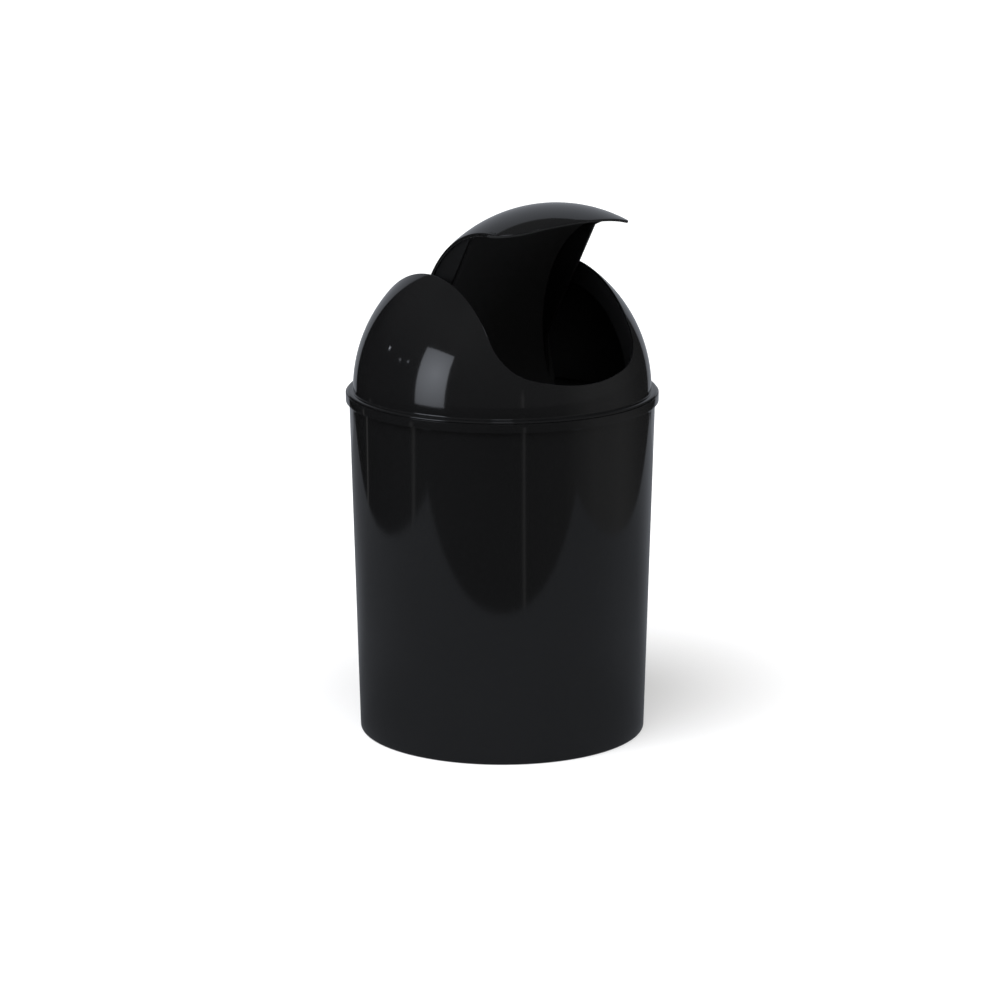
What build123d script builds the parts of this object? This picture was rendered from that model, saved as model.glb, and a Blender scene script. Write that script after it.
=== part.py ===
from build123d import *
import os
from math import cos, radians, sin, sqrt

# Countertop trash can with a swing lid: a tapered bin, a domed cover that lifts off it, and a
# flap that swings in the cover's opening on its own pins.  Millimetres, +Z up, the origin at
# the centre of the base, the front towards -Y.  The flap is built swung open.

# ---- driving dimensions -------------------------------------------------------------------
# bin
BASE_RADIUS = 87.3          # outside, at the table
SHOULDER_RADIUS = 92.85     # outside, just under the rim band
RIM_RADIUS = 95.0           # outside of the rim band
BIN_HEIGHT = 210.9
RIM_BAND = 5.1              # height of the rim band
BIN_WALL = 1.9
FLOOR_RAISE = 2.5           # the floor's underside stands this far above the foot ring
FLOOR_WALL = 2.3
FOOT_RING = 3.6             # width of the ring that the bin stands on
FLOOR_CORNER = 5.0          # inside radius where the wall meets the floor
FOOT_EDGE = 1.6             # outside radius at the table
MOUTH_EDGE = 0.8            # inside radius of the bin's mouth

# dome cover
DOME_RADIUS = 90.6          # outside
DOME_CENTRE = 212.3         # height of the sphere's centre
DOME_WALL = 1.8
FLANGE_RADIUS = 94.3
FLANGE_WALL = 1.7
SEAT_GAP = 0.05             # air between the flange and the rim
SKIRT_RADIUS = 90.5         # outside of the locating skirt, inside the bin's mouth
SKIRT_DEPTH = 10.0

# opening, with its heights measured from the sphere's centre
MOUTH_HALF_WIDTH = 50.3
MOUTH_SILL = 18.0           # in the middle
MOUTH_CORNER = 22.0
SILL_BOW = 120.0            # radius of the sill's gentle bow

# flat webs inside the two ears, which hold the pivot holes
WEB_WALL = 2.0
WEB_FREE_RADIUS = 60.0      # free edge, about the sphere's centre
WEB_FOOT = 10.0             # height of its ends above the sphere's centre
WEB_FOOT_CORNER = 3.0

# swing flap, with its heights measured from the sphere's centre when it is shut
HINGE_RISE = 67.5
FLAP_OPEN = 57.0            # degrees that the flap stands open
FLAP_RADIUS = 90.2
FLAP_WALL = 1.8
SIDE_GAP = 3.0              # to the sides of the opening
SILL_GAP = 2.4              # to the sill
CHEEK_INSET = 44.0          # inner face of a cheek, from the middle
CHEEK_WALL = 2.0
CHEEK_CHORD = 58.5          # straight free edge
RIB_HEIGHT = 2.6            # low rib that carries the cheek's line on round the shell
RIB_END = 43.0
BOSS_RADIUS = 5.2
PIN_RADIUS = 3.0
PIN_CLEARANCE = 0.1         # radial, in the web's hole
BOSS_GAP = 0.6              # side play between a boss and its web
PIN_TIP = 0.7               # a pin stands out this far beyond its web

# common
BITE = 0.4                  # depth to which a web or cheek is sunk into its shell
EDGE = 0.5                  # width to which the thin moulded edges are broken

# ---- worked-out sizes ---------------------------------------------------------------------
band_bottom = BIN_HEIGHT - RIM_BAND
taper = (SHOULDER_RADIUS - BASE_RADIUS) / band_bottom
floor_top = FLOOR_RAISE + FLOOR_WALL
dome_inside = DOME_RADIUS - DOME_WALL
flange_bottom = BIN_HEIGHT + SEAT_GAP
flange_top = flange_bottom + FLANGE_WALL
skirt_bottom = flange_bottom - SKIRT_DEPTH
hinge_height = DOME_CENTRE + HINGE_RISE
hinge_point = (0, HINGE_RISE)                           # on either side plane below
boss_end = MOUTH_HALF_WIDTH - BOSS_GAP
pin_end = MOUTH_HALF_WIDTH + WEB_WALL + PIN_TIP

# Sketch planes through the sphere's centre: seen from the front, and from the right side.
dome_front = Plane(origin=(0, 0, DOME_CENTRE), x_dir=(1, 0, 0), z_dir=(0, -1, 0))
dome_side = Plane(origin=(0, 0, DOME_CENTRE), x_dir=(0, 1, 0), z_dir=(1, 0, 0))

# The same two planes, carried along as the flap swings open about its hinge.
lean = radians(FLAP_OPEN)
flap_centre = (0, -HINGE_RISE * sin(lean), hinge_height - HINGE_RISE * cos(lean))
flap_front = Plane(origin=flap_centre, x_dir=(1, 0, 0), z_dir=(0, -cos(lean), sin(lean)))
flap_side = Plane(origin=flap_centre, x_dir=(0, cos(lean), -sin(lean)), z_dir=(1, 0, 0))


def slice_radius(sphere_radius, offset):
    """Radius of the circle that a plane at this offset cuts from a sphere."""
    return sqrt(sphere_radius**2 - offset**2)


def mouth_shape(plane, half_width, sill, corner):
    """U-shaped outline, open to the top, of the cover's opening or of the flap that fills it."""
    side_foot = sill + SILL_BOW - sqrt(SILL_BOW**2 - half_width**2)
    with BuildSketch(plane) as shape:
        with BuildLine():
            ThreePointArc((-half_width, side_foot), (0, sill), (half_width, side_foot))
            Line((half_width, side_foot), (half_width, RIM_RADIUS))
            Line((half_width, RIM_RADIUS), (-half_width, RIM_RADIUS))
            Line((-half_width, RIM_RADIUS), (-half_width, side_foot))
        make_face()
        fillet(shape.vertices().sort_by(Axis.Y)[0:2], radius=corner)
    return shape.sketch


def circles_between(part, low, high):
    """Circular edges of a part that lie between two heights, the smallest first."""
    rings = part.edges().filter_by(GeomType.CIRCLE)
    return rings.filter_by_position(Axis.Z, low - 0.1, high + 0.1).sort_by(SortBy.RADIUS)


def round_the_skin(part, radius):
    """Edges where the spherical face of this radius ends, without its seam."""
    skin = part.faces().filter_by(GeomType.SPHERE).filter_by(lambda face: abs(face.radius - radius) < 0.01)
    seams = ShapeList(seam for face in skin for seam in face.seams)
    return skin.edges() - seams


# ---- bin ----------------------------------------------------------------------------------
foot_inside = BASE_RADIUS - FOOT_RING
mouth_radius = BASE_RADIUS + taper * BIN_HEIGHT - BIN_WALL
floor_edge = BASE_RADIUS + taper * floor_top - BIN_WALL

with BuildPart() as waste_bin:
    with BuildSketch(Plane.XZ):
        with BuildLine():
            Polyline(
                (0, FLOOR_RAISE),
                (foot_inside - FLOOR_RAISE / 2, FLOOR_RAISE),
                (foot_inside, 0),
                (BASE_RADIUS, 0),
                (SHOULDER_RADIUS, band_bottom),
                (RIM_RADIUS, band_bottom),
                (RIM_RADIUS, BIN_HEIGHT),
                (mouth_radius, BIN_HEIGHT),
                (floor_edge, floor_top),
                (0, floor_top),
                (0, FLOOR_RAISE),
            )
        make_face()
    revolve(axis=Axis.Z)
    fillet(circles_between(waste_bin, 0, 0)[-1], radius=FOOT_EDGE)
    fillet(circles_between(waste_bin, floor_top, floor_top), radius=FLOOR_CORNER)
    chamfer(circles_between(waste_bin, band_bottom, BIN_HEIGHT)[-2:], length=EDGE)
    fillet(circles_between(waste_bin, BIN_HEIGHT, BIN_HEIGHT)[0], radius=MOUTH_EDGE)

# ---- dome cover ---------------------------------------------------------------------------
dome_foot = slice_radius(DOME_RADIUS, flange_top - DOME_CENTRE)
half = sqrt(0.5)            # sine and cosine of the middle of a quarter arc
web_seat = slice_radius(dome_inside, MOUTH_HALF_WIDTH) + BITE

with BuildPart() as dome_cover:
    with BuildSketch(Plane.XZ):
        with BuildLine():
            ThreePointArc(
                (0, DOME_CENTRE + DOME_RADIUS),
                (DOME_RADIUS * half, DOME_CENTRE + DOME_RADIUS * half),
                (dome_foot, flange_top),
            )
            Polyline(
                (dome_foot, flange_top),
                (FLANGE_RADIUS, flange_top),
                (FLANGE_RADIUS, flange_bottom),
                (SKIRT_RADIUS, flange_bottom),
                (SKIRT_RADIUS, skirt_bottom),
                (dome_inside, skirt_bottom),
                (dome_inside, DOME_CENTRE),
            )
            ThreePointArc(
                (dome_inside, DOME_CENTRE),
                (dome_inside * half, DOME_CENTRE + dome_inside * half),
                (0, DOME_CENTRE + dome_inside),
            )
            Line((0, DOME_CENTRE + dome_inside), (0, DOME_CENTRE + DOME_RADIUS))
        make_face()
    revolve(axis=Axis.Z)
    chamfer(circles_between(dome_cover, flange_bottom, flange_top)[-2:], length=EDGE)
    mouth = mouth_shape(dome_front, MOUTH_HALF_WIDTH, MOUTH_SILL, MOUTH_CORNER)
    extrude(mouth, amount=RIM_RADIUS, both=True, mode=Mode.SUBTRACT)
    dome_edges = round_the_skin(dome_cover, DOME_RADIUS)
    chamfer(dome_edges.sort_by(Axis.Z)[1:], length=EDGE)
    for side in (-1, 1):
        with BuildSketch(dome_side.offset(side * MOUTH_HALF_WIDTH)) as web:
            Circle(web_seat)
            Circle(WEB_FREE_RADIUS, mode=Mode.SUBTRACT)
            with Locations((0, WEB_FOOT)):
                Rectangle(
                    2 * DOME_RADIUS,
                    2 * DOME_RADIUS,
                    align=(Align.CENTER, Align.MAX),
                    mode=Mode.SUBTRACT,
                )
            fillet(web.vertices().group_by(Axis.Y)[0].sort_by(Axis.X)[1:3], radius=WEB_FOOT_CORNER)
            with Locations(hinge_point):
                Circle(PIN_RADIUS + PIN_CLEARANCE, mode=Mode.SUBTRACT)
        extrude(amount=side * WEB_WALL)

# ---- swing flap ---------------------------------------------------------------------------
flap_inside = FLAP_RADIUS - FLAP_WALL
cheek_outside = CHEEK_INSET + CHEEK_WALL
cheek_seat = slice_radius(flap_inside, CHEEK_INSET) + BITE
blank_half = MOUTH_HALF_WIDTH                           # the flap is cut from a wider band
blank_outside = slice_radius(FLAP_RADIUS, blank_half)
blank_inside = slice_radius(flap_inside, blank_half)

with BuildSketch(mode=Mode.PRIVATE) as cheek_hollow:
    Circle(cheek_seat - RIB_HEIGHT - BITE)
    with Locations((0, CHEEK_CHORD)):
        Rectangle(
            2 * FLAP_RADIUS,
            2 * FLAP_RADIUS,
            align=(Align.CENTER, Align.MIN),
            mode=Mode.SUBTRACT,
        )

with BuildPart() as swing_flap:
    with BuildSketch(flap_front):
        with BuildLine():
            ThreePointArc((-blank_half, -blank_outside), (0, -FLAP_RADIUS), (blank_half, -blank_outside))
            Line((blank_half, -blank_outside), (blank_half, -blank_inside))
            ThreePointArc((blank_half, -blank_inside), (0, -flap_inside), (-blank_half, -blank_inside))
            Line((-blank_half, -blank_inside), (-blank_half, -blank_outside))
        make_face()
    revolve(axis=Axis(flap_centre, (1, 0, 0)))
    outline = mouth_shape(
        flap_front,
        MOUTH_HALF_WIDTH - SIDE_GAP,
        MOUTH_SILL + SILL_GAP,
        MOUTH_CORNER - SILL_GAP,
    )
    extrude(outline, amount=RIM_RADIUS, both=True, mode=Mode.INTERSECT)
    chamfer(round_the_skin(swing_flap, FLAP_RADIUS), length=EDGE)
    chamfer(round_the_skin(swing_flap, flap_inside), length=EDGE)
    for side in (-1, 1):
        with BuildSketch(flap_side.offset(side * CHEEK_INSET)):
            Circle(cheek_seat)
            add(cheek_hollow.sketch, mode=Mode.SUBTRACT)
            with Locations((0, RIB_END)):
                Rectangle(
                    2 * FLAP_RADIUS,
                    2 * FLAP_RADIUS,
                    align=(Align.CENTER, Align.MAX),
                    mode=Mode.SUBTRACT,
                )
        extrude(amount=side * CHEEK_WALL)
        with BuildSketch(flap_side.offset(side * cheek_outside)):
            with Locations(hinge_point):
                Circle(BOSS_RADIUS)
        extrude(amount=side * (boss_end - cheek_outside))
        with BuildSketch(flap_side.offset(side * boss_end)):
            with Locations(hinge_point):
                Circle(PIN_RADIUS)
        extrude(amount=side * (pin_end - boss_end))

# ---- one file per piece -------------------------------------------------------------------
os.makedirs("parts", exist_ok=True)
waste_bin.part.label = "bin"
dome_cover.part.label = "dome_cover"
swing_flap.part.label = "swing_flap"
export_step(waste_bin.part, "parts/bin.step")
export_step(dome_cover.part, "parts/dome_cover.step")
export_step(swing_flap.part, "parts/swing_flap.step")
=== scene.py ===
from math import asin, atan2, cos, pi, radians, sin, sqrt, tan

import bmesh
import bpy
from mathutils import Matrix, Vector


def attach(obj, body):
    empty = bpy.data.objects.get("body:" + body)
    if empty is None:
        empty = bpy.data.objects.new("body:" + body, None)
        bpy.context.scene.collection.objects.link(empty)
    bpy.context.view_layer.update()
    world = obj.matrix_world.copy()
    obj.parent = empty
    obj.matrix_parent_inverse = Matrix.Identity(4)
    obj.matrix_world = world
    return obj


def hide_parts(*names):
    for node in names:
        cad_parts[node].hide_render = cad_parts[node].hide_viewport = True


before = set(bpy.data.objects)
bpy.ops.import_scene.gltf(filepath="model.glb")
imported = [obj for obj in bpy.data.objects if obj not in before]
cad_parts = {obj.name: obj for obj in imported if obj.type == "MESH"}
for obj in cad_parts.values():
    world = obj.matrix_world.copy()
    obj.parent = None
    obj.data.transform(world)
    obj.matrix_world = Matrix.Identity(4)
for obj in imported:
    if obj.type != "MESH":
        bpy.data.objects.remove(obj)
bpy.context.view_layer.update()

# ---- the can's own sizes, in millimetres, as it is constructed -------------------------------
BASE_RADIUS = 87.3
SHOULDER_RADIUS = 92.85
RIM_RADIUS = 95.0
BIN_HEIGHT = 210.9
RIM_BAND = 5.1
BIN_WALL = 1.9
FLOOR_RAISE = 2.5
FLOOR_WALL = 2.3
FOOT_RING = 3.6
FLOOR_CORNER = 5.0
FOOT_EDGE = 1.6
WALL_RINGS = 0.03, 0.5, 0.985     # rings that keep the wall's shading even, by parts of its height
MOUTH_RING = 0.02, 3.0        # one more inside the mouth, so far in and down from its edge
FLOOR_RING = 0.2              # and one above the floor's corner, so far out from it

DOME_RADIUS = 90.6
DOME_CENTRE = 212.3
DOME_WALL = 1.8
FLANGE_RADIUS = 94.3
FLANGE_WALL = 1.7
SEAT_GAP = 0.05
SKIRT_RADIUS = 90.5
SKIRT_DEPTH = 10.0

MOUTH_HALF_WIDTH = 50.3
MOUTH_SILL = 18.0
MOUTH_CORNER = 22.0
SILL_BOW = 120.0

WEB_WALL = 2.0
WEB_FREE_RADIUS = 60.0
WEB_FOOT = 10.0

HINGE_RISE = 67.5
FLAP_OPEN = 57.0
FLAP_RADIUS = 90.2
FLAP_WALL = 1.8
SIDE_GAP = 3.0
SILL_GAP = 2.4
CHEEK_INSET = 44.0
CHEEK_WALL = 2.0
CHEEK_CHORD = 58.5
RIB_HEIGHT = 2.6
RIB_END = 39.5                # where the rib has run out into the shell
BOSS_RADIUS = 5.2
BOSS_SINK = 0.5               # depth to which a boss is sunk into its cheek
PIN_RADIUS = 3.0
PIN_CLEARANCE = 0.1
BOSS_GAP = 0.6
PIN_TIP = 0.7

RIB_DIVE = 0.9                # how much deeper than the cheek the rib's ends go into the shell
BITE = 0.4                    # depth to which a web or cheek is sunk into its shell
LIP = 0.4                     # radius of the thin moulded edges
RIM_EDGE = 0.12               # the same on the rim band
RAISE_EDGE = 0.6              # the same round the raised floor
CREASE = 0.3                  # the same in small hollows and on the webs
BEND = 0.1                    # the same where a line hardly turns
NOSE = 1.15, 2.6              # the same on the flange's top, in height and inwards
ROOT_EDGE, TIP_EDGE = 0.2, 0.5     # the same at a pin's two ends
EDGE_THINNING = 0.9           # how fast the flap's edge gets sharper as its shell thins
FILLET = 0.85                 # hollow between the flange and the dome

# how many facets there are
ROUND_STEPS = 6               # across a rounded edge
PLATE_STEPS = 3               # across half the rounding of a plate's edge
TURN_STEPS = 256              # round the can
SILL_STEPS, CORNER_STEPS, SIDE_STEPS = 12, 24, 48     # along a quarter of the opening
CLIMB_STEPS = 40              # up the dome, from the flange to the opening
WEB_STEPS = 96                # along a web
HOLE_STEPS = 48               # round a pin's hole
SWEEP_STEPS = 96              # over the flap from front to back
TONGUE_STEPS, TIP_STEPS = 16, 32     # across half the flap, to its rounded corner and round it
CHEEK_STEPS, RIB_STEPS = 72, 24      # along a cheek, and along each rib that goes on from it

OUTSIDE, INSIDE, CHEEK = 0, 1, 2     # material slots

# roughness from and to, and base colour from and to
FINISHES = {
    "polished": (0.05, 0.09, 0.0060, 0.0072),
    "plain": (0.40, 0.50, 0.0045, 0.0055),
    # the matte one's base colour, lighter than the others', is partly its rough moulded face and
    # partly painted light in the flap's shaded inside
    "matte": (0.80, 0.92, 0.013, 0.017),
}
BLUER = 1.01                  # how much more blue than red and green there is in the black
PLASTIC_IOR = 1.5
PATCH_SCALE, PATCH_DETAIL = 18.0, 3.0     # the slow changes of shine and tone
RIPPLE_SCALE, RIPPLE_STRENGTH = 240.0, 0.02     # the fine unevenness of the surface
RIPPLE_DEPTH = 0.0003

# ---- studio sizes, in metres, in axes that face the camera: x right, y away, z up ------------
CAMERA_TURN = radians(-34.5)  # the camera stands this far round from the can's front
CAMERA_BACK = 2.550
CAMERA_HEIGHT = 0.7684
CAMERA_TILT = 0.24077
AXIS_ASIDE = 0.00135          # the can's axis stands this far right of the frame's middle
LENS = 154.8
SENSOR = 36.0

PAPER_HALF = 0.53
SWEEP_HALF = 0.47
PAPER_FRONT = -0.375
PAPER_BACK = 0.70
PAPER_TOP = 1.05
PAPER_LIES = 1e-4             # heights that keep the sheets on the floor apart
GROUND_LIES = 5e-5
FLOOR_HALF = 6.0
ROOM = 4.0
ROOM_FACETS = 64, 32          # round the room and from its bottom to its top
ROOM_BOTTOM = -0.001          # what lies lower than this is cut off the room's sphere
CEILING_FROM, CEILING_AT = 0.25, 0.75      # heights, in parts of the room's, where walls end
COOL = (0.93, 0.98, 1.08)     # tint of the lamps and of the paper in the shine
FLOOR_COLOUR = 0.513, 0.500, 0.478     # its shadow is neutral under that light
# the floor's glow is low at the shadow's middle and rises to white further out: a painted shadow
# laid over the lamps' own
PAINTED_SHADOW_LIFT = 0.195, 0.80      # brings the lit floor up to white, in the shadow and further out
SHADOW_PLACE = 0.015, 0.10, 0      # middle of the shadow, in the studio's axes
SHADOW_REACH = 0.265          # how far from there it fades out
ROOM_LIGHT = 0.45             # the world's, where 1 is the white that the camera sees

STRAIGHT_BACK = 0.75          # a radial gradient's value there, from where it grows to the left
# how bright the surroundings look in the can's shine, by direction: 0 is straight back, 90 right
SWEEP_GLOW = [(-36, 0.31), (-15, 0.37), (15, 0.37), (36, 0.31)]
# near the can's foot the paper is darker at the sides, and further out darker behind the can: a
# painted shadow of the can on the paper
FOOT_SHADOW_GLOW = [(-90, 0.11), (-135, 0.21), (180, 0.22), (135, 0.22), (90, 0.13)]
PAPER_GLOW = [
    (-90, 0.21), (180, 0.22), (90, 0.23), (60, 0.17), (40, 0.21), (-40, 0.21), (-60, 0.155),
]
PAPER_FAR_GLOW = [
    (-90, 0.22), (180, 0.22), (60, 0.21), (35, 0.26), (10, 0.19), (-15, 0.21), (-45, 0.16),
    (-60, 0.19),
]
FOOT_SHADOW_REACH = 0.10, 0.27       # distances from the can between which the first becomes the second
PAPER_REACH = 0.40, 0.65      # and the second becomes the third
GROUND_GLOW = [
    (-90, 0.008), (-135, 0.025), (180, 0.03), (135, 0.06), (110, 0.18),
    (85, 0.17), (60, 0.06), (45, 0.03), (-30, 0.005),
]
WALL_GLOW = [
    (-90, 0.008), (-135, 0.05), (180, 0.075), (135, 0.11), (110, 0.22),
    (85, 0.19), (60, 0.07), (40, 0.03), (-30, 0.004),
]
CEILING_GLOW = [(-90, 0.09), (-135, 0.12), (180, 0.09), (0, 0.06)]
# thin bright lines from the floor up, by direction, width in degrees and glow, and their height
STANDS = [(-62, 0.8, 0.26), (-113.3, 1.4, 0.2), (165.1, 1.0, 0.3)]
STAND_EDGE = 0.4
STAND_TOP = 0.5
STAND_REACH = 1.05, 1.3       # their lines on the floor fade out between these distances
# small lamps further off, by direction, rise, size and glow
SPARKS = [
    (-73, 14.8, 0.05, 5.0), (-89.4, 14.7, 0.05, 1.8), (-98, 16.4, 0.05, 2.0), (180, 60, 0.4, 3.0),
]
SPARK_AWAY = 2.0

SOFTBOX_TURN = radians(-124.9)
SOFTBOX_SIZE = 0.455, 0.685
SOFTBOX_PLACE = sin(SOFTBOX_TURN), cos(SOFTBOX_TURN), 0.457
SOFTBOX_LIGHT = 3.0
SOFTBOX_GLOW = 3.25, 1.3      # in the shine, at its peak and further out
SOFTBOX_PEAK = 0.04, 0.06, 0  # on its face
SOFTBOX_FALL = 0.5            # distance from there at which it has its second glow
FILL_PLACE = 1.42, -0.38, 0.30
FILL_SIZE = 1.2, 0.9
FILL_LIGHT = 2.0
OVERHEAD_PLACE = -0.36, -0.48, 1.25
OVERHEAD_LIGHT = 2.1
OVERHEAD_WIDTH = radians(50)  # the angle that it fills, which softens its shadows
LAMP_AIM = 0.25               # height on the can's axis at which the lamps point

studio = Matrix.Rotation(CAMERA_TURN, 4, "Z")

# ---- places worked out from those sizes -----------------------------------------------------
band_bottom = BIN_HEIGHT - RIM_BAND
taper = (SHOULDER_RADIUS - BASE_RADIUS) / band_bottom
floor_top = FLOOR_RAISE + FLOOR_WALL
dome_inside = DOME_RADIUS - DOME_WALL
flange_bottom = BIN_HEIGHT + SEAT_GAP
flange_top = flange_bottom + FLANGE_WALL
skirt_bottom = flange_bottom - SKIRT_DEPTH
flap_inside = FLAP_RADIUS - FLAP_WALL
cheek_outside = CHEEK_INSET + CHEEK_WALL
boss_end = MOUTH_HALF_WIDTH - BOSS_GAP
pin_end = MOUTH_HALF_WIDTH + WEB_WALL + PIN_TIP

MM = Matrix.Scale(0.001, 4)
at_dome = MM @ Matrix.Translation((0, 0, DOME_CENTRE))
hinge = Matrix.Translation((0, 0, HINGE_RISE))
swing = Matrix.Rotation(radians(FLAP_OPEN), 4, Vector((-1, 0, 0)))
at_flap = at_dome @ hinge @ swing @ hinge.inverted()
# a plate's outline is drawn in (y, z) and its thickness runs along x
side_on = Matrix(((0, 0, 1, 0), (1, 0, 0, 0), (0, 1, 0, 0), (0, 0, 0, 1)))


# ---- mesh helpers ---------------------------------------------------------------------------
def spread(start, end, steps):
    """Values from start to end, evenly apart, with both ends."""
    return [start + (end - start) * i / steps for i in range(steps + 1)]


def eased(start, end, steps):
    """The same, but closer together towards both ends."""
    return [start + (end - start) * (1 - cos(a)) / 2 for a in spread(0, pi, steps)]


def arc_points(radius, low, high, steps, middle=(0, 0), end_radius=None):
    """Points along an arc from one angle to another, with a radius that may change evenly."""
    radii = spread(radius, radius if end_radius is None else end_radius, steps)
    angles = spread(low, high, steps)
    return [(middle[0] + r * cos(a), middle[1] + r * sin(a)) for r, a in zip(radii, angles)]


def rounding(start, corner, end):
    """Points of an edge that turns smoothly from start to end instead of through the corner."""
    return [
        corner + (start - corner) * (1 - sin(a)) + (end - corner) * (1 - cos(a))
        for a in spread(0, pi / 2, ROUND_STEPS)
    ]


def rounded_wall(leave, corner, next_corner, arrive, edge):
    """Points along the wall that joins a shell's two skins, rounded off at both its corners."""
    across = (next_corner - corner).normalized() * edge
    first_half = rounding(leave, corner, corner + across)[1:]
    return first_half + rounding(next_corner - across, next_corner, arrive)[:-1]


def rounded_profile(corners):
    """Points through (x, y, radius) corners, with each corner rounded off over its radius.

    A corner with two radii is rounded off over the first before it and over the second after it.
    """
    points = []
    for before, here, after in zip(corners, corners[1:], corners[2:]):
        corner = Vector(here[:2])
        to_start = (Vector(before[:2]) - corner).normalized() * here[2]
        to_end = (Vector(after[:2]) - corner).normalized() * here[-1]
        points += rounding(corner + to_start, corner, corner + to_end)
    return [Vector(corners[0][:2]), *points, Vector(corners[-1][:2])]


def inner_slots(count, start, end):
    """Material slots along a section, of which those from start to before end are inside."""
    return [INSIDE if start <= j < end else OUTSIDE for j in range(count)]


def quilt(columns, slots, wrap_columns, wrap_rows):
    """A mesh of four-sided faces between neighbouring columns of points."""
    count, rows = len(columns), len(columns[0])
    mesh = bpy.data.meshes.new("quilt")
    faces, marks = [], []
    for i in range(count if wrap_columns else count - 1):
        here, beside = i * rows, (i + 1) % count * rows
        for j in range(rows if wrap_rows else rows - 1):
            above = (j + 1) % rows
            faces.append((here + j, beside + j, beside + above, here + above))
            marks.append(slots[j])
    mesh.from_pydata([point for column in columns for point in column], [], faces)
    mesh.polygons.foreach_set("material_index", marks)
    return mesh


def turned(profile, slots):
    """A mesh turned about +Z from (radius, height) points."""
    angles = spread(0, 2 * pi, TURN_STEPS)[:-1]
    columns = [[Vector((r * cos(a), r * sin(a), z)) for r, z in profile] for a in angles]
    return quilt(columns, slots, True, False)


def plate(outlines, thickness, edge):
    """A flat plate with rounded edges. The first outline is its rim and the others are holes."""
    curve = bpy.data.curves.new("plate", "CURVE")
    curve.dimensions = "2D"
    curve.fill_mode = "BOTH"
    curve.extrude = thickness / 2 - edge
    curve.bevel_depth = edge
    curve.bevel_resolution = PLATE_STEPS
    curve.offset = -edge
    for outline in outlines:
        spline = curve.splines.new("POLY")
        spline.points.add(len(outline) - 1)
        for point, place in zip(spline.points, outline):
            point.co = (*place, 0, 1)
        spline.use_cyclic_u = True
    holder = bpy.data.objects.new("plate", curve)
    bpy.context.collection.objects.link(holder)
    mesh = bpy.data.meshes.new_from_object(holder)
    bpy.data.objects.remove(holder)
    return mesh


def moulding(name, body, node, parts, finishes):
    """Make a piece from several meshes, each with its matrix and, if given, one material slot."""
    shape = bmesh.new()
    for mesh, matrix, mark in parts:
        mesh.transform(matrix)
        if mark is not None:
            mesh.polygons.foreach_set("material_index", [mark] * len(mesh.polygons))
        shape.from_mesh(mesh)
        bpy.data.meshes.remove(mesh)
    bmesh.ops.remove_doubles(shape, verts=shape.verts, dist=1e-6)
    bmesh.ops.recalc_face_normals(shape, faces=shape.faces)
    mesh = bpy.data.meshes.new(name)
    shape.to_mesh(mesh)
    shape.free()
    mesh.shade_smooth()
    piece = bpy.data.objects.new(name, mesh)
    bpy.context.collection.objects.link(piece)
    for finish in finishes:
        mesh.materials.append(black_plastic(f"{name}_{finish}", finish))
    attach(piece, body)
    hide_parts(node)


# ---- black plastic --------------------------------------------------------------------------
def node_tree(name):
    """A new material and its empty node tree."""
    material = bpy.data.materials.new(name)
    material.use_nodes = True
    material.node_tree.nodes.clear()
    return material, material.node_tree


def link(tree, source, output, target, socket):
    """Join two nodes' sockets by their names."""
    tree.links.new(source.outputs[output], target.inputs[socket])


def black_plastic(name, finish):
    """Black moulded plastic, with the fine unevenness that moulding leaves in its shine."""
    smooth, rough, dark, pale = FINISHES[finish]
    material, tree = node_tree(name)
    shader = tree.nodes.new("ShaderNodeBsdfPrincipled")
    shader.inputs["IOR"].default_value = PLASTIC_IOR
    place = tree.nodes.new("ShaderNodeTexCoord")
    patches = tree.nodes.new("ShaderNodeTexNoise")
    patches.inputs["Scale"].default_value = PATCH_SCALE
    patches.inputs["Detail"].default_value = PATCH_DETAIL
    link(tree, place, "Object", patches, "Vector")
    shine = tree.nodes.new("ShaderNodeMapRange")
    shine.inputs["To Min"].default_value = smooth
    shine.inputs["To Max"].default_value = rough
    link(tree, patches, "Fac", shine, "Value")
    link(tree, shine, "Result", shader, "Roughness")
    tone = tree.nodes.new("ShaderNodeMix")
    tone.data_type = "RGBA"
    tone.inputs["A"].default_value = (dark, dark, dark * BLUER, 1)
    tone.inputs["B"].default_value = (pale, pale, pale * BLUER, 1)
    link(tree, patches, "Fac", tone, "Factor")
    link(tree, tone, "Result", shader, "Base Color")
    ripple = tree.nodes.new("ShaderNodeTexNoise")
    ripple.inputs["Scale"].default_value = RIPPLE_SCALE
    link(tree, place, "Object", ripple, "Vector")
    bump = tree.nodes.new("ShaderNodeBump")
    bump.inputs["Strength"].default_value = RIPPLE_STRENGTH
    bump.inputs["Distance"].default_value = RIPPLE_DEPTH
    link(tree, ripple, "Fac", bump, "Height")
    link(tree, bump, "Normal", shader, "Normal")
    out = tree.nodes.new("ShaderNodeOutputMaterial")
    link(tree, shader, "BSDF", out, "Surface")
    return material


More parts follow.
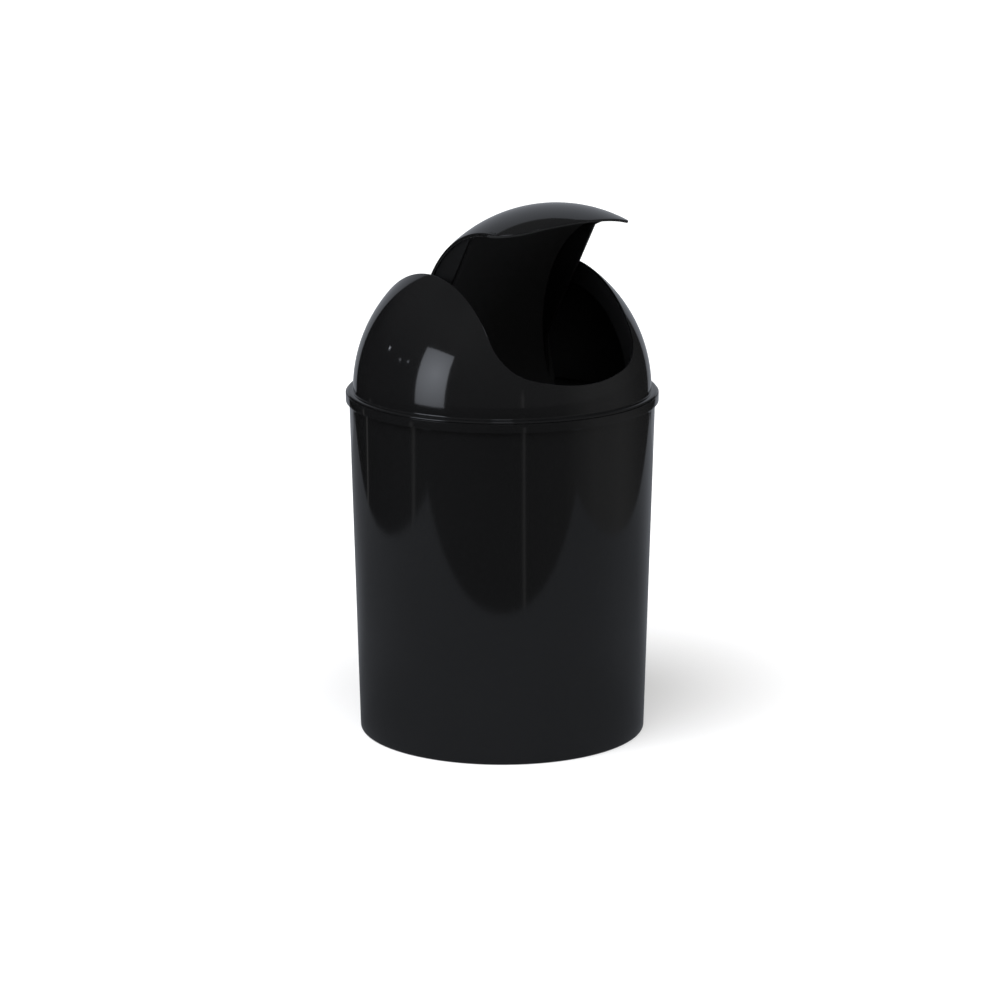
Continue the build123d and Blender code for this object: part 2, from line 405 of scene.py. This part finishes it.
# ---- bin ------------------------------------------------------------------------------------
def make_bin():
    """The tapered bucket, with its foot ring, its raised floor and the band round its rim."""
    foot_inside = BASE_RADIUS - FOOT_RING
    mouth_radius = BASE_RADIUS + taper * BIN_HEIGHT - BIN_WALL
    floor_edge = BASE_RADIUS + taper * floor_top - BIN_WALL
    wall_foot = Vector((BASE_RADIUS, 0))
    wall_top = Vector((SHOULDER_RADIUS, band_bottom))
    outside = [
        (0, FLOOR_RAISE, 0),
        (foot_inside - FLOOR_RAISE / 2, FLOOR_RAISE, RAISE_EDGE),
        (foot_inside, 0, CREASE),
        (*wall_foot, FOOT_EDGE),
        *[(*wall_foot.lerp(wall_top, part), BEND) for part in WALL_RINGS],
        (*wall_top, CREASE),
        (RIM_RADIUS, band_bottom, RIM_EDGE),
        (RIM_RADIUS, BIN_HEIGHT, RIM_EDGE),
        (mouth_radius, BIN_HEIGHT, LIP),
    ]
    inside = [
        (mouth_radius - MOUTH_RING[0], BIN_HEIGHT - MOUTH_RING[1], BEND),
        (floor_edge + FLOOR_RING, floor_top + 2 * FLOOR_CORNER, BEND),
        (floor_edge, floor_top, FLOOR_CORNER),
        (0, floor_top, 0),
    ]
    profile = rounded_profile(outside + inside)
    inside_from = 1 + (len(outside) - 1) * (ROUND_STEPS + 1)
    shell = turned(profile, inner_slots(len(profile), inside_from, len(profile)))
    moulding("waste_bin", "bin", "bin", [(shell, MM, None)], ["polished", "plain"])


# ---- outline shared by the opening and the flap ---------------------------------------------
def corner_middle(half_width, sill, corner):
    """Centre of a U-shaped outline's corner, and its depth below the centre of the sill's arc."""
    drop = sqrt((SILL_BOW - corner) ** 2 - (half_width - corner) ** 2)
    return Vector((half_width - corner, sill + SILL_BOW - drop)), drop


def sill_height(x, half_width, sill, corner):
    """Height of a U-shaped outline's lower edge above the sphere's centre, at this x."""
    middle, _ = corner_middle(half_width, sill, corner)
    touch = middle.x * SILL_BOW / (SILL_BOW - corner)
    if abs(x) <= touch:
        return sill + SILL_BOW - sqrt(SILL_BOW**2 - x * x)
    return middle.y - sqrt(max(corner**2 - (abs(x) - middle.x) ** 2, 0))


# ---- dome cover -----------------------------------------------------------------------------
def mouth_outline(grow):
    """One quarter of the opening's outline, from the middle of the sill to the ear's top."""
    half_width, sill, corner = MOUTH_HALF_WIDTH + grow, MOUTH_SILL - grow, MOUTH_CORNER + grow
    middle, drop = corner_middle(half_width, sill, corner)
    touch = atan2(middle.x, drop) - pi / 2
    sill_part = arc_points(SILL_BOW, -pi / 2, touch, SILL_STEPS, (0, sill + SILL_BOW))[:-1]
    corner_part = arc_points(corner, touch, 0, CORNER_STEPS, middle)
    top = sqrt(DOME_RADIUS**2 - half_width**2)
    start = asin(corner_part[-1][1] / top)
    side_part = [(half_width, top * sin(a)) for a in spread(start, pi / 2, SIDE_STEPS)[1:]]
    return sill_part + corner_part + side_part


def on_sphere(x, z, radius):
    """The point of a sphere in front of its centre with this x and z."""
    return Vector((x, -sqrt(max(radius**2 - x * x - z * z, 0)), z))


def through_wall(x, z):
    """The points on the dome's outside and inside between which its wall is cut at this place."""
    inward = sqrt(dome_inside**2 - x * x) / sqrt(DOME_RADIUS**2 - x * x)
    return on_sphere(x, z, DOME_RADIUS), on_sphere(x, z * inward, dome_inside)


def meridian(radius, turn, rises):
    """Points of a sphere straight above each other, at these angles above its centre."""
    return [
        Vector((radius * cos(rise) * cos(turn), radius * cos(rise) * sin(turn), radius * sin(rise)))
        for rise in rises
    ]


def cover_column(skin, wall):
    """One closed section of the cover, whose edge turns from a skin point to a wall point."""
    outer_skin, inner_skin = through_wall(*skin)
    outer_corner, inner_corner = through_wall(*wall)
    turn, turn_in = atan2(outer_skin.y, outer_skin.x), atan2(inner_skin.y, inner_skin.x)
    foot = asin((flange_top + FILLET - DOME_CENTRE) / DOME_RADIUS)
    rise, rise_in = asin(outer_skin.z / DOME_RADIUS), asin(inner_skin.z / dome_inside)
    outside = meridian(DOME_RADIUS, turn, eased(foot, rise, CLIMB_STEPS)[1:])
    edge = rounded_wall(outer_skin, outer_corner, inner_corner, inner_skin, LIP)
    inside = meridian(dome_inside, turn_in, eased(rise_in, 0, CLIMB_STEPS))
    # its two ends only say which way the lines go on, and are left out
    flange = rounded_profile([
        (dome_inside, DOME_CENTRE, 0),
        (dome_inside, skirt_bottom, LIP),
        (SKIRT_RADIUS, skirt_bottom, LIP),
        (SKIRT_RADIUS, flange_bottom, CREASE),
        (FLANGE_RADIUS, flange_bottom, LIP),
        (FLANGE_RADIUS, flange_top, *NOSE),
        (DOME_RADIUS, flange_top, FILLET),
        (DOME_RADIUS, flange_top + FILLET, 0),
    ])[1:-1]
    turns = spread(turn_in, turn, len(flange) - 1)
    skirt = [Vector((r * cos(a), r * sin(a), z - DOME_CENTRE)) for (r, z), a in zip(flange, turns)]
    column = outside + edge + inside + skirt
    # the inside goes from the middle of the opening's wall to the middle of the skirt's edge
    inside_from = len(outside) + ROUND_STEPS
    inside_to = inside_from + ROUND_STEPS + len(inside) + ROUND_STEPS // 2
    return column, inner_slots(len(column), inside_from, inside_to)


def make_cover():
    """The dome with its flange, skirt and opening, and the flat webs inside its ears."""
    made = [cover_column(skin, wall) for skin, wall in zip(mouth_outline(LIP), mouth_outline(0))]
    quarter, slots = [column for column, _ in made], made[0][1]

    def mirrored(sign_x, sign_y):
        """The same columns in another quarter."""
        return [[Vector((sign_x * p.x, sign_y * p.y, p.z)) for p in column] for column in quarter]

    columns = quarter + mirrored(1, -1)[-2::-1] + mirrored(-1, -1)[1:] + mirrored(-1, 1)[-2:0:-1]
    parts = [(quilt(columns, slots, True, True), at_dome, None)]
    seat = sqrt(dome_inside**2 - MOUTH_HALF_WIDTH**2) + BITE
    low, low_in = asin(WEB_FOOT / seat), asin(WEB_FOOT / WEB_FREE_RADIUS)
    web = arc_points(seat, low, pi - low, WEB_STEPS)
    web += arc_points(WEB_FREE_RADIUS, pi - low_in, low_in, WEB_STEPS)
    hole = arc_points(PIN_RADIUS + PIN_CLEARANCE, 0, 2 * pi, HOLE_STEPS, (0, HINGE_RISE))[:-1]
    for side in (-1, 1):
        stand = Matrix.Translation((side * (MOUTH_HALF_WIDTH + WEB_WALL / 2), 0, 0)) @ side_on
        parts.append((plate([web, hole], WEB_WALL, CREASE), at_dome @ stand, INSIDE))
    finishes = ["polished", "plain"]
    moulding("swing_top_cover", "cover", "dome_cover", parts, finishes)


# ---- swing flap -----------------------------------------------------------------------------
def flap_column(x, half_width):
    """One closed section of the flap's shell at this x, with its edges rounded."""
    beyond = max(abs(x) - (half_width - LIP), 0)
    thin = LIP - sqrt(max(LIP**2 - beyond**2, 0))
    outer = sqrt((FLAP_RADIUS - thin) ** 2 - x * x)
    inner = sqrt((flap_inside + thin) ** 2 - x * x)
    sill = sill_height(x, half_width, MOUTH_SILL + SILL_GAP, MOUTH_CORNER - SILL_GAP)
    edge = LIP - EDGE_THINNING * thin
    start, start_in = asin(sill / outer), asin(sill / inner)
    low, low_in = start + edge / outer, start_in + edge / inner

    def point(radius, angle):
        """A point of the section, at this angle up from the front."""
        return Vector((x, -radius * cos(angle), radius * sin(angle)))

    outside = [point(outer, a) for a in spread(low, pi - low, SWEEP_STEPS)]
    inside = [point(inner, a) for a in spread(pi - low_in, low_in, SWEEP_STEPS)]
    rear, rear_in = point(outer, pi - start), point(inner, pi - start_in)
    front, front_in = point(outer, start), point(inner, start_in)
    column = outside + rounded_wall(outside[-1], rear, rear_in, inside[0], edge)
    column += inside + rounded_wall(inside[-1], front_in, front, outside[0], edge)
    inside_from = len(outside) + ROUND_STEPS
    return column, inner_slots(len(column), inside_from, len(column) - ROUND_STEPS)


def close_sides(shell, count, rows):
    """Close the flap's shell on its left and right, from its outside across to its inside."""
    sides = bmesh.new()
    sides.from_mesh(shell)
    sides.verts.ensure_lookup_table()
    for first in (0, (count - 1) * rows):
        for out in range(-ROUND_STEPS, SWEEP_STEPS + ROUND_STEPS):
            back = 2 * (SWEEP_STEPS + ROUND_STEPS) + 1 - out
            strip = [first + row % rows for row in (out, out + 1, back - 1, back)]
            sides.faces.new([sides.verts[i] for i in strip])
    sides.to_mesh(shell)
    sides.free()


def make_flap():
    """The flap's shell, with a cheek and its ribs on either side, and the pins on the cheeks."""
    half_width, corner = MOUTH_HALF_WIDTH - SIDE_GAP, MOUTH_CORNER - SILL_GAP
    flat = half_width - corner
    right = spread(0, flat, TONGUE_STEPS)[1:]
    right += [flat + corner * sin(a) for a in spread(0, pi / 2, TIP_STEPS)[1:]]
    across = [-x for x in right[::-1]] + [0] + right
    made = [flap_column(x, half_width) for x in across]
    columns, slots = [column for column, _ in made], made[0][1]
    shell = quilt(columns, slots, False, True)
    close_sides(shell, len(columns), len(columns[0]))
    parts = [(shell, at_flap, None)]
    seat = sqrt(flap_inside**2 - CHEEK_INSET**2) + BITE
    rib = seat - RIB_HEIGHT - BITE
    low, chord = asin(RIB_END / seat), asin(CHEEK_CHORD / rib)
    deep, flush = seat + RIB_DIVE, seat - BITE
    cheek = arc_points(deep, low, chord, RIB_STEPS, end_radius=seat)
    cheek += arc_points(seat, chord, pi - chord, CHEEK_STEPS)[1:-1]
    cheek += arc_points(seat, pi - chord, pi - low, RIB_STEPS, end_radius=deep)
    cheek += arc_points(flush, pi - low, pi - chord, RIB_STEPS, end_radius=rib)
    cheek += arc_points(rib, chord, low, RIB_STEPS, end_radius=flush)
    boss_foot = cheek_outside - BOSS_SINK
    pivot = rounded_profile([
        (0, boss_foot, 0),
        (BOSS_RADIUS, boss_foot, BEND),
        (BOSS_RADIUS, boss_end, LIP),
        (PIN_RADIUS, boss_end, ROOT_EDGE),
        (PIN_RADIUS, pin_end, TIP_EDGE),
        (0, pin_end, 0),
    ])
    for side in (-1, 1):
        stand = Matrix.Translation((side * (CHEEK_INSET + CHEEK_WALL / 2), 0, 0)) @ side_on
        parts.append((plate([cheek], CHEEK_WALL, LIP), at_flap @ stand, CHEEK))
        axle = hinge @ Matrix.Rotation(side * pi / 2, 4, "Y")
        parts.append((turned(pivot, [INSIDE] * len(pivot)), at_flap @ axle, None))
    # the shell's inside takes the matte finish, whose lighter base colour paints light into it
    finishes = ["polished", "matte", "plain"]
    moulding("swinging_flap", "flap", "swing_flap", parts, finishes)


make_bin()
make_cover()
make_flap()


# ---- stage ----------------------------------------------------------------------------------
def staged(name, mesh, place):
    """A stage object from a mesh drawn in the axes of its place."""
    made = bpy.data.objects.new(name, mesh)
    made.matrix_world = place
    bpy.context.collection.objects.link(made)
    return made


def sheet(name, corner, side, other_side, place=studio):
    """A flat stage sheet that spreads from one corner along two sides."""
    corner, side, other_side = Vector(corner), Vector(side), Vector(other_side)
    mesh = bpy.data.meshes.new(name)
    corners = [corner, corner + side, corner + side + other_side, corner + other_side]
    mesh.from_pydata(corners, [], [range(len(corners))])
    return staged(name, mesh, place)


def facing(place, target):
    """Axes at a place in the studio whose +Z points away from the target."""
    at, aim = studio @ Vector(place), studio @ Vector(target)
    return Matrix.Translation(at) @ (at - aim).to_track_quat("Z", "Y").to_matrix().to_4x4()


def seen(tree):
    """A value of 1 where the camera, a reflection or a clear body looks, and of 0 for light."""
    path = tree.nodes.new("ShaderNodeLightPath")
    total = path.outputs["Is Camera Ray"]
    for kind in ("Is Glossy Ray", "Is Transmission Ray"):
        add = tree.nodes.new("ShaderNodeMath")
        add.use_clamp = True
        tree.links.new(total, add.inputs[0])
        tree.links.new(path.outputs[kind], add.inputs[1])
        total = add.outputs["Value"]
    return total


def scaled(tree, value, start, end, low=0.0, high=1.0):
    """Map low..high onto start..end, evenly and without going beyond."""
    change = tree.nodes.new("ShaderNodeMapRange")
    change.inputs["From Min"].default_value = low
    change.inputs["From Max"].default_value = high
    change.inputs["To Min"].default_value = start
    change.inputs["To Max"].default_value = end
    tree.links.new(value, change.inputs["Value"])
    return change.outputs["Result"]


def reach(tree, middle=(0, 0, 0)):
    """The distance from a place in the object's own axes."""
    place = tree.nodes.new("ShaderNodeTexCoord")
    away = tree.nodes.new("ShaderNodeVectorMath")
    away.operation = "DISTANCE"
    away.inputs[1].default_value = middle
    tree.links.new(place.outputs["Object"], away.inputs[0])
    return away.outputs["Value"]


def around(tree, tones):
    """A tone that changes with the direction from the can, in degrees right of straight back."""
    place = tree.nodes.new("ShaderNodeTexCoord")
    turn = tree.nodes.new("ShaderNodeTexGradient")
    turn.gradient_type = "RADIAL"
    link(tree, place, "Object", turn, "Vector")
    ramp = tree.nodes.new("ShaderNodeValToRGB")
    link(tree, turn, "Fac", ramp, "Fac")
    stops = ramp.color_ramp.elements
    stops[1].position = 1
    for direction, tone in tones:
        at = (STRAIGHT_BACK - direction / 360) % 1
        stop = stops.new(at) if at else stops[0]
        stop.color = (tone, tone, tone, 1)
    stops[-1].color = stops[0].color
    return ramp.outputs["Color"]


def mixed(tree, factor, near, far):
    """A tone that goes from one socket's to another's."""
    mix = tree.nodes.new("ShaderNodeMix")
    tree.links.new(factor, mix.inputs["Factor"])
    tree.links.new(near, mix.inputs["A"])
    tree.links.new(far, mix.inputs["B"])
    return mix.outputs["Result"]


def stand_lines(tree, stands):
    """The glow of the thin lines that stand round the can."""
    tones = []
    for direction, width, tone in stands:
        half = width / 2
        tones += [(direction - half - STAND_EDGE, 0), (direction - half, tone)]
        tones += [(direction + half, tone), (direction + half + STAND_EDGE, 0)]
    return around(tree, tones)


def combined(tree, operation, one, other):
    """The sum or product of two sockets' values."""
    join = tree.nodes.new("ShaderNodeMath")
    join.operation = operation
    tree.links.new(one, join.inputs[0])
    tree.links.new(other, join.inputs[1])
    return join.outputs["Value"]


def mirrored_only(card, tint):
    """Let the card glow and show in reflections alone, and return its glow and node tree."""
    material, tree = node_tree(card.name)
    glow = tree.nodes.new("ShaderNodeEmission")
    glow.inputs["Color"].default_value = (*tint, 1)
    out = tree.nodes.new("ShaderNodeOutputMaterial")
    link(tree, glow, "Emission", out, "Surface")
    card.data.materials.append(material)
    card.visible_camera = False
    card.visible_diffuse = False
    card.visible_transmission = False
    card.visible_volume_scatter = False
    card.visible_shadow = False
    return glow.inputs["Strength"], tree


def lamp_card(name, wide, high, place):
    """A card round a place in the studio, turned to the can and seen in reflections alone."""
    at = facing(place, (0, 0, LAMP_AIM))
    card = sheet(name, (-wide / 2, -high / 2, 0), (wide, 0, 0), (0, high, 0), at)
    return mirrored_only(card, COOL)


# a white floor that keeps the can's shadow, with a painted shadow in its glow round the shadow's
# middle
floor = sheet(
    "floor", (-FLOOR_HALF, -FLOOR_HALF, 0), (2 * FLOOR_HALF, 0, 0), (0, 2 * FLOOR_HALF, 0)
)
material, tree = node_tree("floor")
matte = tree.nodes.new("ShaderNodeBsdfDiffuse")
matte.inputs["Color"].default_value = (*FLOOR_COLOUR, 1)
# painted shadow: the glow is lowest at the shadow's middle and fades out to white
painted_shadow_lift = scaled(tree, reach(tree, SHADOW_PLACE), *PAINTED_SHADOW_LIFT, 0, SHADOW_REACH)
glow = tree.nodes.new("ShaderNodeEmission")
tree.links.new(combined(tree, "MULTIPLY", seen(tree), painted_shadow_lift), glow.inputs["Strength"])
added = tree.nodes.new("ShaderNodeAddShader")
out = tree.nodes.new("ShaderNodeOutputMaterial")
tree.links.new(matte.outputs["BSDF"], added.inputs[0])
tree.links.new(glow.outputs["Emission"], added.inputs[1])
tree.links.new(added.outputs["Shader"], out.inputs["Surface"])
floor.data.materials.append(material)

world = bpy.data.worlds.new("studio")
bpy.context.scene.world = world
world.use_nodes = True
tree = world.node_tree
backdrop = tree.nodes["Background"]
backdrop.inputs["Color"].default_value = (1, 1, 1, 1)
tree.links.new(scaled(tree, seen(tree), ROOM_LIGHT, 1), backdrop.inputs["Strength"])

# what the polished plastic mirrors: the paper sweep, and the room round it
paper = sheet(
    "paper",
    (-PAPER_HALF, PAPER_FRONT, PAPER_LIES),
    (2 * PAPER_HALF, 0, 0),
    (0, PAPER_BACK - PAPER_FRONT, 0),
)
strength, tree = mirrored_only(paper, COOL)
# the paper is painted darker near the can's foot and behind it, as the can's shadow
beyond_foot = scaled(tree, reach(tree), 0, 1, *FOOT_SHADOW_REACH)
near = mixed(tree, beyond_foot, around(tree, FOOT_SHADOW_GLOW), around(tree, PAPER_GLOW))
further = scaled(tree, reach(tree), 0, 1, *PAPER_REACH)
tree.links.new(mixed(tree, further, near, around(tree, PAPER_FAR_GLOW)), strength)

sweep = sheet("sweep", (-SWEEP_HALF, PAPER_BACK, 0), (2 * SWEEP_HALF, 0, 0), (0, 0, PAPER_TOP))
strength, tree = mirrored_only(sweep, COOL)
tree.links.new(around(tree, SWEEP_GLOW), strength)

ground = sheet("ground", (-ROOM, -ROOM, GROUND_LIES), (2 * ROOM, 0, 0), (0, 2 * ROOM, 0))
strength, tree = mirrored_only(ground, (1, 1, 1))
near = scaled(tree, reach(tree), 1, 0, *STAND_REACH)
lines = combined(tree, "MULTIPLY", stand_lines(tree, STANDS), near)
tree.links.new(combined(tree, "ADD", around(tree, GROUND_GLOW), lines), strength)

shell = bmesh.new()
segments, rings = ROOM_FACETS
bmesh.ops.create_uvsphere(shell, u_segments=segments, v_segments=rings, radius=ROOM)
buried = [v for v in shell.verts if v.co.z < ROOM_BOTTOM]
bmesh.ops.delete(shell, geom=buried, context="VERTS")
mesh = bpy.data.meshes.new("walls")
shell.to_mesh(mesh)
shell.free()
walls = staged("walls", mesh, studio)
strength, tree = mirrored_only(walls, (1, 1, 1))
place = tree.nodes.new("ShaderNodeTexCoord")
split = tree.nodes.new("ShaderNodeSeparateXYZ")
link(tree, place, "Object", split, "Vector")
higher = scaled(tree, split.outputs["Z"], 0, 1, CEILING_FROM * ROOM, CEILING_AT * ROOM)
wall_tone = mixed(tree, higher, around(tree, WALL_GLOW), around(tree, CEILING_GLOW))
below = scaled(tree, split.outputs["Z"], 1, 0, STAND_TOP, 2 * STAND_TOP)
lines = combined(tree, "MULTIPLY", stand_lines(tree, STANDS[-1:]), below)
tree.links.new(combined(tree, "ADD", wall_tone, lines), strength)

for number, (direction, rise, size, tone) in enumerate(SPARKS, 1):
    out, up = SPARK_AWAY * cos(radians(rise)), SPARK_AWAY * sin(radians(rise))
    place = out * sin(radians(direction)), out * cos(radians(direction)), LAMP_AIM + up
    strength, _ = lamp_card(f"spark_{number}", size, size, place)
    strength.default_value = tone


# ---- lamps ----------------------------------------------------------------------------------
def placed_lamp(name, kind, place, energy):
    """A lamp at a place in the studio's axes, aimed at the can."""
    light = bpy.data.lights.new(name, kind)
    light.color = COOL
    light.energy = energy
    made = bpy.data.objects.new(name, light)
    made.matrix_world = facing(place, (0, 0, LAMP_AIM))
    made.visible_glossy = False
    bpy.context.collection.objects.link(made)
    return made


def panel(name, place, size, brightness):
    """An evenly bright rectangular lamp."""
    made = placed_lamp(name, "AREA", place, brightness * pi * size[0] * size[1])
    made.data.shape = "RECTANGLE"
    made.data.size, made.data.size_y = size


panel("softbox", SOFTBOX_PLACE, SOFTBOX_SIZE, SOFTBOX_LIGHT)
panel("fill", FILL_PLACE, FILL_SIZE, FILL_LIGHT)
overhead = placed_lamp("overhead", "SUN", OVERHEAD_PLACE, OVERHEAD_LIGHT)
overhead.data.angle = OVERHEAD_WIDTH

# the softbox's face, which is brightest in its middle
strength, tree = lamp_card("softbox_face", *SOFTBOX_SIZE, SOFTBOX_PLACE)
tree.links.new(scaled(tree, reach(tree, SOFTBOX_PEAK), *SOFTBOX_GLOW, 0, SOFTBOX_FALL), strength)

# ---- camera ---------------------------------------------------------------------------------
lens = bpy.data.cameras.new("camera")
lens.lens = LENS
lens.sensor_width = SENSOR
camera = bpy.data.objects.new("camera", lens)
camera_place = 0, -CAMERA_BACK, CAMERA_HEIGHT
camera_aim = -AXIS_ASIDE, 0, CAMERA_HEIGHT - CAMERA_BACK * tan(CAMERA_TILT)
camera.matrix_world = facing(camera_place, camera_aim)
bpy.context.collection.objects.link(camera)
bpy.context.scene.camera = camera

bpy.context.scene.view_settings.view_transform = "Standard"
